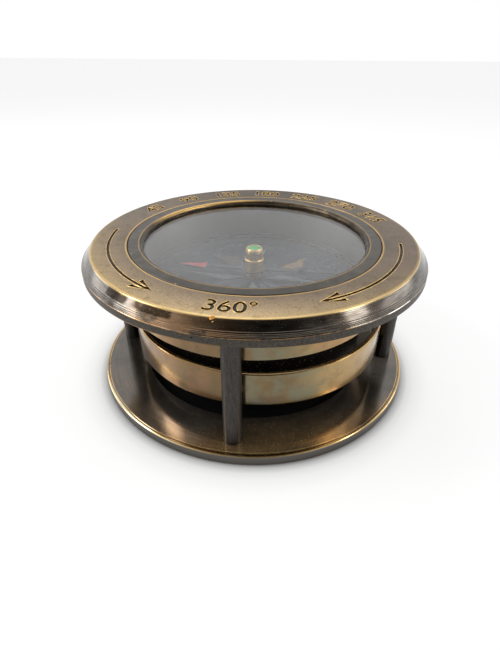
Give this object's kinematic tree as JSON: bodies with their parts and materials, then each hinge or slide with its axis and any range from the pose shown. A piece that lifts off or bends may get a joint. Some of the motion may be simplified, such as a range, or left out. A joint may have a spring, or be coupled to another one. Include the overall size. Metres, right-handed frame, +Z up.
{
  "type": "gimballed desk compass",
  "caption": "Low desk compass: a weighted bowl with card and needle, hung in a gimbal ring between pillars that join a bevelled, glazed top ring to an open base plate.",
  "frame": {"origin": "centre of the base plate's underside, on the table", "axes": "+Z up through the needle's pivot; the front pillar stands on -Y, the frame's pivot screws lie on +X and -X, and the red end of the needle points to -X at rest"},
  "size_m": [0.1, 0.1, 0.0434],
  "materials": {
    "top_patina": "antique patina, rubbed bright at the edges",
    "base_patina": "dark glossy patina",
    "pillar_patina": "dark patina with drawn streaks",
    "bezel_patina": "grey patina with bright edges",
    "bowl_patina": "black patina, matt",
    "bare_brass": "satin, lightly tarnished",
    "screw_brass": "satin, lightly tarnished",
    "weight_brass": "as turned",
    "cap_brass": "polished",
    "clear_glass": "clear, flat",
    "black_gasket": "matt",
    "card_print": "printed dial with a compass rose",
    "point_steel": "hardened and polished",
    "needle_steel": "blued, with a red north end",
    "green_enamel": "gloss",
    "jewel": "polished"
  },
  "bodies": {
    "frame": {"base_plate": "base_patina", "base_screws": "screw_brass", "pillar_front": "pillar_patina", "pillar_right": "pillar_patina", "pillar_back": "pillar_patina", "pillar_left": "pillar_patina", "top_ring": "top_patina", "skirt_tube": "bare_brass", "bezel_ring": "bezel_patina", "cover_glass": "clear_glass", "glass_gasket": "black_gasket", "glass_retainer": "bare_brass", "pivot_screw_right": "screw_brass", "pivot_screw_left": "screw_brass"},
    "gimbal": {"gimbal_ring": "bare_brass", "bowl_pivot_screws": "screw_brass"},
    "bowl": {"bowl_shell": "bowl_patina", "bowl_bushes": "screw_brass", "bowl_weight": "weight_brass", "weight_screw": "screw_brass", "dial_card": "card_print", "dial_ring": "bare_brass", "pivot_post": "screw_brass", "post_nut": "screw_brass", "pivot_point": "point_steel"},
    "needle": {"needle_blade": "needle_steel", "needle_cap": "cap_brass", "cap_enamel": "green_enamel", "cap_jewel": "jewel", "balance_rider": "cap_brass"}
  },
  "joints": [
    {"name": "gimbal_tilt", "type": "hinge", "parent": "frame", "child": "gimbal", "pos_m": [0, 0, 0.0166], "axis": [1, 0, 0], "range_deg": [-5, 5]},
    {"name": "bowl_tilt", "type": "hinge", "parent": "gimbal", "child": "bowl", "pos_m": [0, 0, 0.0166], "axis": [0, 1, 0], "range_deg": [-8, 8]},
    {"name": "needle_spin", "type": "hinge", "parent": "bowl", "child": "needle", "pos_m": [0, 0, 0.03655], "axis": [0, 0, 1], "continuous": true}
  ]
}
